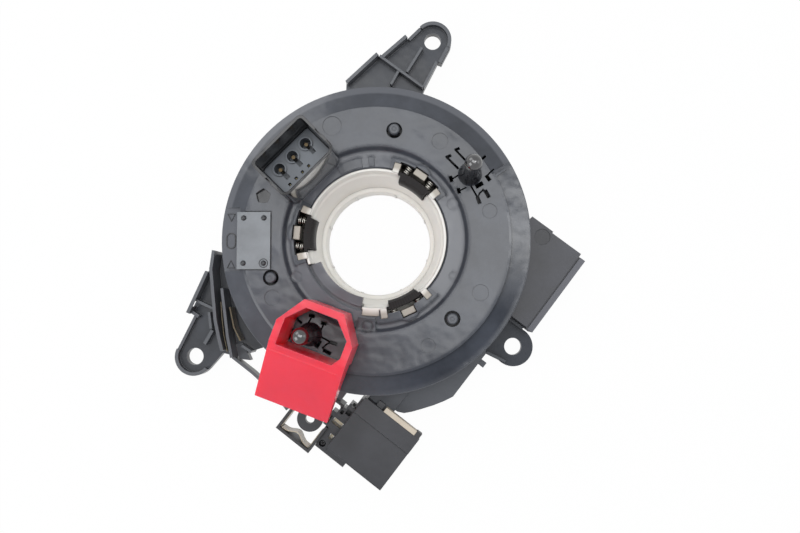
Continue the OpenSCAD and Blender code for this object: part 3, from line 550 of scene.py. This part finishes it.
# The open frame beside it, thin-walled, with the eyelet that a harness clip is pushed through. An
# amber leaf of the ribbon's film lies along the frame's outer wall and bulges into the opening; its
# pale cream colour is partly the film and partly a painted reflection of the white table. Two flat
# pale sheets of the same finish along the frame's inner walls are a painted reflection of the lit
# walls.
leaf_level = 5.6 * mm
leaf_from, leaf_to = (-5.3 * mm, 42.4 * mm, leaf_level), (-5.3 * mm, 30.2 * mm, leaf_level)
long_lit_sheet_from = (8.5 * mm, 42.8 * mm, leaf_level)
long_lit_sheet_to = (-5.2 * mm, 42.8 * mm, leaf_level)
short_lit_sheet_from = (-5.2 * mm, 29.92 * mm, leaf_level)
short_lit_sheet_to = (2.4 * mm, 29.92 * mm, leaf_level)
leaf_bulge, leaf_narrowness, leaf_steps = 1.9 * mm, 4.0, 40
leaf_w, leaf_t = 6.4 * mm, 0.3 * mm


def rectangle(tree, width, height):
    """A rectangular section."""
    return add(tree, "GeometryNodeCurvePrimitiveQuadrilateral", {
        "Width": width, "Height": height}).outputs["Curve"]


def swept(tree, path, section, caps=False):
    """A section swept along a path."""
    return add(tree, "GeometryNodeCurveToMesh", {
        "Curve": path, "Profile Curve": section, "Fill Caps": caps}).outputs["Mesh"]


def leaf_tree():
    """A strip on edge along a line, bowed out once in its middle."""
    tree, given = new_tree("bowed_leaf", {
        "From": "Vector", "To": "Vector", "Bulge": "Float", "Width": "Float",
        "Thickness": "Float"})
    line = add(tree, "GeometryNodeCurvePrimitiveLine", {
        "Start": given["From"], "End": given["To"]})
    fine = add(tree, "GeometryNodeResampleCurve", {
        "Curve": line.outputs["Curve"], "Count": leaf_steps})
    share = add(tree, "GeometryNodeSplineParameter").outputs["Factor"]
    wave = worked(tree, "SINE", worked(tree, "MULTIPLY", share, math.pi))
    narrow = worked(tree, "POWER", wave, leaf_narrowness)
    bow = worked(tree, "MULTIPLY", narrow, given["Bulge"])
    bowed = add(tree, "GeometryNodeSetPosition", {
        "Geometry": fine.outputs["Curve"], "Offset": at(tree, x=bow)}).outputs["Geometry"]
    section = rectangle(tree, given["Thickness"], given["Width"])
    return end_tree(tree, given, swept(tree, bowed, section, caps=True))


# Painted reflection: this pale cream stands partly for the white table seen in the leaf, and wholly
# for the lit inner walls under the two flat sheets.
film_and_reflection = satin_plastic("film_and_reflection", colour=(0.62, 0.55, 0.42), roughness=0.25,
                          edge=(0.30, 0.22, 0.12), grain=0.15, cloud=0.4)
moulding("bracket_frame", "open_frame", "housing", clip_black)
moulding("eyelet", "frame_eyelet", "housing", housing_black)
bowed_leaf = leaf_tree()
for name, start, end, bulge in (
    ("amber_leaf", leaf_from, leaf_to, leaf_bulge),
    ("wall_reflection_sheet_1", long_lit_sheet_from, long_lit_sheet_to, 0.0),
    ("wall_reflection_sheet_2", short_lit_sheet_from, short_lit_sheet_to, 0.0),
):
    grow(bowed_leaf, name, {
        "From": start, "To": end, "Bulge": bulge, "Width": leaf_w, "Thickness": leaf_t,
        "Place": block_corner, "Turn": (0, 0, block_turn), "Finish": film_and_reflection,
    }, "housing")

# The comb's terminals. Two flat gilt blades lie across the slots of the comb, and a small black
# screw with a cross slot clamps the flange from its seat.
blade_level, blade_t = 4.6 * mm, 0.3 * mm
blades = (
    ((8.7 * mm, 24.9 * mm, blade_level), (8.7 * mm, 28.9 * mm, blade_level), 2.0 * mm),
    ((2.9 * mm, 25.0 * mm, blade_level), (2.9 * mm, 26.4 * mm, blade_level), 1.8 * mm),
)
screw_at = Vector((-1.0, 26.8, 4.6)) * mm
screw_r, screw_h, screw_sides = 1.1 * mm, 2.2 * mm, 36
crown_share, slot_length_share, slot_width_share = 0.78, 1.15, 0.28


def screw_tree():
    """A pan head that stands on z = 0 with a cross slot cut in its top."""
    tree, given = new_tree("cross_screw", {"Radius": "Float", "Height": "Float"})
    crown_r = worked(tree, "MULTIPLY", given["Radius"], crown_share)
    head = cone(tree, screw_sides, given["Radius"], crown_r, given["Height"])
    slot_l = worked(tree, "MULTIPLY", given["Radius"], slot_length_share)
    slot_w = worked(tree, "MULTIPLY", given["Radius"], slot_width_share)
    slot_size = at(tree, slot_l, slot_w, given["Radius"])
    slot = add(tree, "GeometryNodeMeshCube", {"Size": slot_size}).outputs["Mesh"]
    top = at(tree, z=given["Height"])
    cut = add(tree, "GeometryNodeMeshBoolean", {"Mesh 1": head}, operation="DIFFERENCE")
    for turn in (45, 135):
        arm = moved(tree, slot, top, (0, 0, math.radians(turn)))
        tree.links.new(arm, cut.inputs["Mesh 2"])
    return end_tree(tree, given, cut.outputs["Mesh"])


blade_metal = satin_plastic("blade_metal", colour=(0.70, 0.62, 0.46), roughness=0.34,
                            edge=(0.85, 0.78, 0.60), grain=0.1, cloud=0.2)
set_skin(blade_metal, {"Metallic": 0.6})
for number, (start, end, width) in enumerate(blades, 1):
    grow(bowed_leaf, f"comb_blade_{number}", {
        "From": start, "To": end, "Bulge": 0.0, "Width": blade_t, "Thickness": width,
        "Place": block_corner, "Turn": (0, 0, block_turn), "Finish": blade_metal,
    }, "housing")
grow(screw_tree(), "flange_screw", {
    "Radius": screw_r, "Height": screw_h, "Place": block_corner + about_z(block_turn, screw_at),
    "Turn": (0, 0, block_turn), "Finish": clip_black,
}, "housing")

# The rotor disc. One black moulding with the plug shroud and both drive posts on their springy
# feet. The tool's face was polished where it made the shroud and the posts, so these shine and the
# disc itself has a soft grey sheen.
plate_low, plate_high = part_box("index_plate")
face_level = plate_high[2] - 0.5 * mm
strip_level = face_level - 3 * mm
sunk_level = face_level - 2.5 * mm
well_turn, well_r, well_edge = math.radians(158.9), 3.05 * mm, 0.4 * mm
well_spot = Vector((42.4 * mm, 0, face_level - 1.4 * mm))
polish_from, polish_to = face_level + 0.4 * mm, face_level + 1.6 * mm
polished_roughness = 0.20
lacquer_r, lacquer_roughness, lacquer_ior = 31.5 * mm, 0.08, 2.0
wall_limit = 0.5
tip_from, tip_to, tip_lacquer = face_level + 17.5 * mm, face_level + 20.5 * mm, 0.55
disc_wave = 0.5 * mm
band_r, band_fall_deg = 47.0 * mm, 5
ring_r, ring_fall_deg = 31.8 * mm, 4
ring_half_width, ring_corner_r = 2.6 * mm, 1.9 * mm


def fall_away(material, inner_r, inner_deg, radius, fall_deg):
    """Tilts a plastic's skin outwards within one radius and beyond another, as shallow cones do."""
    tree = material.node_tree
    inner_rise = inner_r * math.tan(math.radians(inner_deg))
    outer_drop = radius * math.tan(math.radians(fall_deg))
    within = ramped(tree, from_axis(tree), 0, inner_r, low=inner_rise, high=0)
    beyond = ramped(tree, from_axis(tree), radius, 2 * radius, high=-outer_drop)
    slope = add(tree, "ShaderNodeBump", {
        "Height": worked(tree, "ADD", within, beyond), "Distance": 1.0,
        "Normal": tree.nodes["rounded"].outputs["Normal"]})
    tree.links.new(slope.outputs["Normal"], tree.nodes["sink_waves"].inputs["Normal"])


def soften_ring(material, radius, half_width, corner):
    """Rounds a plastic's corners more widely within a ring."""
    tree = material.node_tree
    near = worked(tree, "COMPARE", from_axis(tree), radius, half_width)
    size = add(tree, "ShaderNodeMix", {"Factor": near, "A": corner_r, "B": corner})
    tree.links.new(size.outputs["Result"], tree.nodes["rounded"].inputs["Radius"])


def polish_above(material, low, high):
    """Polishes a plastic between two heights and upwards, and lacquers its inner walls and tips."""
    tree = material.node_tree
    shader = tree.nodes["Principled BSDF"].inputs
    share = ramped(tree, above_table(tree), low, high)
    finish = add(tree, "ShaderNodeMix", {
        "Factor": share, "A": tree.nodes["sheen_range"].outputs["Result"],
        "B": polished_roughness})
    tree.links.new(finish.outputs["Result"], shader["Roughness"])

    inside = worked(tree, "LESS_THAN", from_axis(tree), lacquer_r)
    facing = add(tree, "ShaderNodeNewGeometry").outputs["True Normal"]
    upward = add(tree, "ShaderNodeSeparateXYZ", {"Vector": facing}).outputs["Z"]
    inner_wall = worked(tree, "MULTIPLY", inside, worked(tree, "LESS_THAN", upward, wall_limit))
    walls = worked(tree, "MULTIPLY", inner_wall, share)
    tips = ramped(tree, above_table(tree), tip_from, tip_to, high=tip_lacquer)
    tree.links.new(worked(tree, "MAXIMUM", walls, tips), shader["Coat Weight"])
    set_skin(material, {"Coat Roughness": lacquer_roughness, "Coat IOR": lacquer_ior})


rotor_black = satin_plastic("rotor_black", colour=(0.046, 0.051, 0.063), roughness=0.20,
                            edge=(0.16, 0.17, 0.19), grain=0.3, cloud=0.35, wave=disc_wave)
tint_between(rotor_black, above_table, polish_from, polish_to, colour=(0.015, 0.015, 0.017))
# Painted light: below the sunk level, where the strip beside the index plate lies recessed, the disc
# is painted paler against the shade of the recess.
tint_between(rotor_black, above_table, sunk_level + 0.3 * mm, sunk_level + 0.1 * mm,
             colour=(0.100, 0.105, 0.120))
tint_between(rotor_black, from_spot(about_z(well_turn, well_spot)), well_r, well_r - well_edge,
             colour=(0.016, 0.017, 0.020))
fall_away(rotor_black, ring_r, ring_fall_deg, band_r, band_fall_deg)
dull_sector(rotor_black, middle_r=50.6 * mm, half_width=4.4 * mm, middle_deg=-52, half_deg=22,
            soft_deg=28, specular=0.02)
soften_ring(rotor_black, ring_r, ring_half_width, ring_corner_r)
polish_above(rotor_black, polish_from, polish_to)
moulding("rotor_cover", "rotor_disc", "rotor", rotor_black)
moulding("spool_drum", "ribbon_spool", "rotor", clip_black)

# The locating studs. Three round studs stand in holes of the disc, a little proud of it, with a
# chamfered head and a ring round the dimple where the tool's ejector pushed.
stud_place = Vector((39.0 * mm, 0, face_level - 0.3 * mm))
stud_heads = ((79.8, 2.4 * mm), (200.5, 1.1 * mm), (314.0, 1.3 * mm))
stud_head_r, stud_chamfer, stud_bead_r = 1.95 * mm, 0.4 * mm, 0.09 * mm
dimple_share, dimple_steps = 0.36, 28
round_steps, bead_steps = 40, 8


def circle(tree, steps, radius):
    """A circle about z."""
    return add(tree, "GeometryNodeCurvePrimitiveCircle", {
        "Resolution": steps, "Radius": radius}).outputs["Curve"]


def stud_tree():
    """A chamfered round head that stands on z = 0, with a ring round its dimple."""
    tree, given = new_tree("stud_head", {
        "Radius": "Float", "Height": "Float", "Chamfer": "Float", "Bead": "Float"})
    shaft_h = worked(tree, "SUBTRACT", given["Height"], given["Chamfer"])
    inner_r = worked(tree, "SUBTRACT", given["Radius"], given["Chamfer"])
    shaft = cone(tree, round_steps, given["Radius"], given["Radius"], shaft_h)
    top = cone(tree, round_steps, given["Radius"], inner_r, given["Chamfer"])
    dimple_r = worked(tree, "MULTIPLY", given["Radius"], dimple_share)
    bead = circle(tree, bead_steps, given["Bead"])
    dimple = swept(tree, circle(tree, dimple_steps, dimple_r), bead)
    head = joined(tree, shaft, moved(tree, top, at(tree, z=shaft_h)),
                  moved(tree, dimple, at(tree, z=given["Height"])))
    return end_tree(tree, given, head)


stud_black = satin_plastic("stud_black", colour=(0.050, 0.055, 0.066), roughness=0.28,
                           edge=(0.17, 0.18, 0.20), cloud=0.3)
stud_head = stud_tree()
for number, (angle, height) in enumerate(stud_heads, 1):
    grow(stud_head, f"stud_head_{number}", {
        "Radius": stud_head_r, "Height": height, "Chamfer": stud_chamfer, "Bead": stud_bead_r,
        "Place": about_z(math.radians(angle), stud_place), "Finish": stud_black,
    }, "rotor")

# The turning signs. Raised outlines moulded on the strip beside the index plate: a triangle for
# each way round and a nought between them for the middle of the travel.
sign_place = Vector((-51.6 * mm, -0.4 * mm, strip_level + 0.1 * mm))
sign_reach, sign_line = 8.8 * mm, 0.34 * mm
triangle_r, triangle_scale = 1.9 * mm, (0.92, 0.8, 1)
nought_w, nought_h, nought_r = 3.1 * mm, 5.4 * mm, 1.5 * mm


def sign_tree():
    """Two triangles that point away from a rounded nought, drawn by a square line."""
    tree, given = new_tree("turning_signs", {
        "Reach": "Float", "Line": "Float", "Triangle": "Float", "Triangle scale": "Vector",
        "Nought width": "Float", "Nought height": "Float", "Nought radius": "Float"})
    drawn = []
    for way in (-1, 1):
        corners = circle(tree, 3, given["Triangle"])
        reach = at(tree, y=worked(tree, "MULTIPLY", given["Reach"], way))
        turn = (0, 0, math.radians(-90 * way))
        drawn.append(moved(tree, corners, reach, turn, given["Triangle scale"]))
    block = rectangle(tree, given["Nought width"], given["Nought height"])
    nought = add(tree, "GeometryNodeFilletCurve", {
        "Curve": block, "Radius": given["Nought radius"], "Count": 6}, mode="POLY")
    outlines = joined(tree, *drawn, nought.outputs["Curve"])
    section = rectangle(tree, given["Line"], given["Line"])
    return end_tree(tree, given, swept(tree, outlines, section))


sign_black = satin_plastic("sign_black", colour=(0.020, 0.020, 0.022), roughness=0.3,
                           edge=(0.05, 0.05, 0.06), grain=0.2)
grow(sign_tree(), "turning_signs", {
    "Reach": sign_reach, "Line": sign_line,
    "Triangle": triangle_r, "Triangle scale": triangle_scale,
    "Nought width": nought_w, "Nought height": nought_h, "Nought radius": nought_r,
    "Place": sign_place, "Finish": sign_black,
}, "rotor")

# The hub. A ring of off-white slippery acetal that slides over the shaft's collar. It lets a
# little light through, and eight low ribs in its bore are crushed as it is pushed on.
lug_from_r, lug_to_r = 24.6 * mm, 26.6 * mm
rib_circle_r, rib_turn, rib_level = 19.5 * mm, math.radians(26), 3.5 * mm
rib_size = Vector((0.5, 0.7, 6.4)) * mm


def rib_tree():
    """Upright ribs spaced evenly on a circle."""
    tree, given = new_tree("bore_ribs", {"Count": "Int", "Circle": "Float", "Size": "Vector"})
    ring = add(tree, "GeometryNodeMeshCircle", {
        "Vertices": given["Count"], "Radius": given["Circle"]}).outputs["Mesh"]
    spot = add(tree, "GeometryNodeInputPosition").outputs["Position"]
    outward = add(tree, "FunctionNodeAlignRotationToVector", {"Vector": spot}, axis="X")
    rib = add(tree, "GeometryNodeMeshCube", {"Size": given["Size"]}).outputs["Mesh"]
    return end_tree(tree, given, on_points(tree, ring, rib, Rotation=outward.outputs["Rotation"]))


hub_white = satin_plastic("hub_white", colour=(0.81, 0.79, 0.74), roughness=0.34,
                          edge=(0.86, 0.84, 0.80), grain=0.2, cloud=0.04, corner=0.5 * mm)
# Painted shade: the hub's lugs beyond lug_from_r are painted a darker tan, as the shade they lie in.
tint_between(hub_white, from_axis, lug_from_r, lug_to_r, colour=(0.37, 0.335, 0.285))
set_skin(hub_white, {"Subsurface Weight": 0.15, "Subsurface Radius": (1.0, 0.92, 0.78),
                     "Subsurface Scale": 2.2 * mm})
moulding("hub_ring", "hub_moulding", "rotor", hub_white)
grow(rib_tree(), "bore_ribs", {
    "Count": 8, "Circle": rib_circle_r, "Size": rib_size, "Place": (0, 0, rib_level),
    "Turn": (0, 0, rib_turn), "Finish": hub_white,
}, "rotor")

# The jaws. Three black pads that pairs of coil springs push inwards against the collar. Each
# spring is wound from bright wire with a closed coil at both ends.
jaw_angles = (55, 175, 295)
jaw_ribs, jaw_rib_h = 160, 0.03 * mm
spring_start_x, spring_side, spring_z = 25.26 * mm, 4.65 * mm, 22.1 * mm
spring_r, spring_wire_r, spring_len, spring_turns = 1.28 * mm, 0.22 * mm, 2.9 * mm, 2.0
closed_pitch_share, coil_steps = 1.6, 20


def rib_round(material, count, height):
    """Fine ribs across a plastic's skin, spaced evenly round the axis."""
    tree = material.node_tree
    waves = worked(tree, "MULTIPLY", bearing(tree, shaded_point(tree)), count)
    ribs = add(tree, "ShaderNodeBump", {
        "Height": worked(tree, "SINE", waves), "Distance": height,
        "Normal": tree.nodes["rounded"].outputs["Normal"]})
    tree.links.new(ribs.outputs["Normal"], tree.nodes["sink_waves"].inputs["Normal"])


def spring_tree():
    """Two coil springs side by side along x, each with closed end coils."""
    tree, given = new_tree("spring_pair", {
        "Coil": "Float", "Wire": "Float", "Length": "Float", "Turns": "Float", "Side": "Float"})
    close = worked(tree, "MULTIPLY", given["Wire"], closed_pitch_share)
    ends = worked(tree, "MULTIPLY", close, 2.0)
    wires = worked(tree, "MULTIPLY", given["Wire"], 2.0)
    inner = worked(tree, "SUBTRACT", given["Length"], ends)
    open_len = worked(tree, "SUBTRACT", inner, wires)
    after = worked(tree, "ADD", open_len, close)
    coils = []
    for turns, height, start in (
        (1.0, close, 0.0), (given["Turns"], open_len, close), (1.0, close, after),
    ):
        coil = add(tree, "GeometryNodeCurveSpiral", {
            "Resolution": coil_steps, "Rotations": turns, "Start Radius": given["Coil"],
            "End Radius": given["Coil"], "Height": height})
        coils.append(moved(tree, coil.outputs["Curve"], at(tree, z=start)))
    section = circle(tree, bead_steps, given["Wire"])
    wire = swept(tree, joined(tree, *coils), section, caps=True)
    along_x = moved(tree, wire, at(tree, x=given["Wire"]), (0, math.radians(90), 0))
    first_side = at(tree, y=worked(tree, "MULTIPLY", given["Side"], -1.0))
    apart = at(tree, y=worked(tree, "MULTIPLY", given["Side"], 2.0))
    return end_tree(tree, given, on_points(tree, in_a_line(tree, 2, apart, first_side), along_x))


jaw_black = satin_plastic("jaw_black", colour=(0.016, 0.014, 0.014), roughness=0.5,
                          edge=(0.04, 0.037, 0.037))
set_skin(jaw_black, {"Specular IOR Level": 0.15})
rib_round(jaw_black, jaw_ribs, jaw_rib_h)
spring_wire = satin_plastic("spring_wire", colour=(0.50, 0.48, 0.44), roughness=0.24,
                            edge=(0.60, 0.58, 0.54), grain=0.05, cloud=0.1)
set_skin(spring_wire, {"Metallic": 1.0})
spring_pair = spring_tree()
for number, angle in enumerate(jaw_angles, 1):
    moulding(f"jaw_{number}", f"jaw_pad_{number}", f"jaw_{number}", jaw_black)
    turn = math.radians(angle)
    pair = grow(spring_pair, f"spring_pair_{number}", {
        "Coil": spring_r, "Wire": spring_wire_r, "Length": spring_len, "Turns": spring_turns,
        "Side": spring_side, "Place": about_z(turn, Vector((spring_start_x, 0, spring_z))),
        "Turn": (0, 0, turn), "Finish": spring_wire,
    }, "rotor", f"jaw_springs_{number}", crease=60)
    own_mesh(pair)

# The plug insert. Blue-grey plastic with three keyed holes for the airbag circuits and four small
# square ones for the switches, and the gilt contacts that stand in them.
shroud_turn = math.radians(135)
switch_first_pin = Vector((33.6, -1.645, 25.5)) * mm
insert_grey = satin_plastic("insert_grey", colour=(0.135, 0.150, 0.172), roughness=0.36,
                            edge=(0.26, 0.28, 0.31), cloud=0.3)
moulding("connector_insert", "plug_insert", "rotor", insert_grey)
# Painted shade: the round contacts are painted dark brass, standing in for the shade deep in their
# holes.
shade_dark_brass = satin_plastic("shade_dark_brass", colour=(0.09, 0.068, 0.040), roughness=0.38,
                           edge=(0.14, 0.11, 0.07), grain=0.1)
set_skin(shade_dark_brass, {"Metallic": 1.0})
moulding("airbag_pins", "round_contacts", "rotor", shade_dark_brass)
grow(contact_field, "square_contacts", {
    "Columns": 4, "Rows": 1, "Column step": (0, 3.05 * mm, 0), "Row step": (0, 0, 0),
    "Width": contact_w, "Shaft": 4.2 * mm, "Point": 0.6 * mm,
    "Place": about_z(shroud_turn, switch_first_pin), "Turn": (0, 0, shroud_turn),
    "Finish": contact_metal,
}, "rotor", "switch_pins")

# The index plate. A satin silver-grey plate over the strip with the turning signs, held by four
# plastic rivets whose heads were upset with a hot punch.
plate_mid = (Vector(plate_low) + Vector(plate_high)) / 2
rivets_across, rivets_along = 7.2 * mm, 16.0 * mm
rivet_r, punch_ring_r, punch_bead_r = 0.9 * mm, 1.5 * mm, 0.14 * mm
dome_segments, dome_rings, dome_share = 28, 14, 0.75


def rivet_tree():
    """Domed rivet heads at a rectangle's corners, the last one in the ring its punch pressed."""
    tree, given = new_tree("rivet_heads", {
        "Across": "Float", "Along": "Float", "Head": "Float", "Ring": "Float", "Bead": "Float"})
    corners = add(tree, "GeometryNodeMeshGrid", {
        "Size X": given["Across"], "Size Y": given["Along"], "Vertices X": 2, "Vertices Y": 2})
    dome = add(tree, "GeometryNodeMeshUVSphere", {
        "Segments": dome_segments, "Rings": dome_rings, "Radius": given["Head"]})
    flat = moved(tree, dome.outputs["Mesh"], scale=(1, 1, dome_share))
    heads = on_points(tree, corners.outputs["Mesh"], flat)
    bead = circle(tree, bead_steps, given["Bead"])
    ring = swept(tree, circle(tree, round_steps, given["Ring"]), bead)
    last = at(tree, worked(tree, "MULTIPLY", given["Across"], 0.5),
              worked(tree, "MULTIPLY", given["Along"], -0.5))
    return end_tree(tree, given, joined(tree, heads, moved(tree, ring, last)))


plate_grey = satin_plastic("plate_grey", colour=(0.165, 0.178, 0.193), roughness=0.24,
                           edge=(0.40, 0.42, 0.44), grain=0.3, cloud=0.3)
rivet_grey = satin_plastic("rivet_grey", colour=(0.028, 0.030, 0.034), roughness=0.30,
                           edge=(0.10, 0.10, 0.11))
moulding("index_plate", "riveted_plate", "rotor", plate_grey)
grow(rivet_tree(), "plate_rivets", {
    "Across": rivets_across, "Along": rivets_along, "Head": rivet_r,
    "Ring": punch_ring_r, "Bead": punch_bead_r,
    "Place": (plate_mid.x, plate_mid.y, plate_high[2]), "Finish": rivet_grey,
}, "rotor", "index_rivets", crease=60)

# The transport lock. A bright red tube with six sides and a grip tab, moulded in one piece. It
# is pushed over the lower post to hold the disc in mid-travel, and pulled off after fitting.
lock_red = satin_plastic("lock_red", colour=(1.0, 0.040, 0.075), roughness=0.22,
                         edge=(1.0, 0.20, 0.25), grain=0.25, cloud=0.05, wave=0.6 * mm)
set_skin(lock_red, {"Subsurface Weight": 1.0, "Subsurface Radius": (1.0, 0.10, 0.10),
                    "Subsurface Scale": 8 * mm, "Specular IOR Level": 0.4})
moulding("transport_lock", "red_lock", "lock", lock_red)
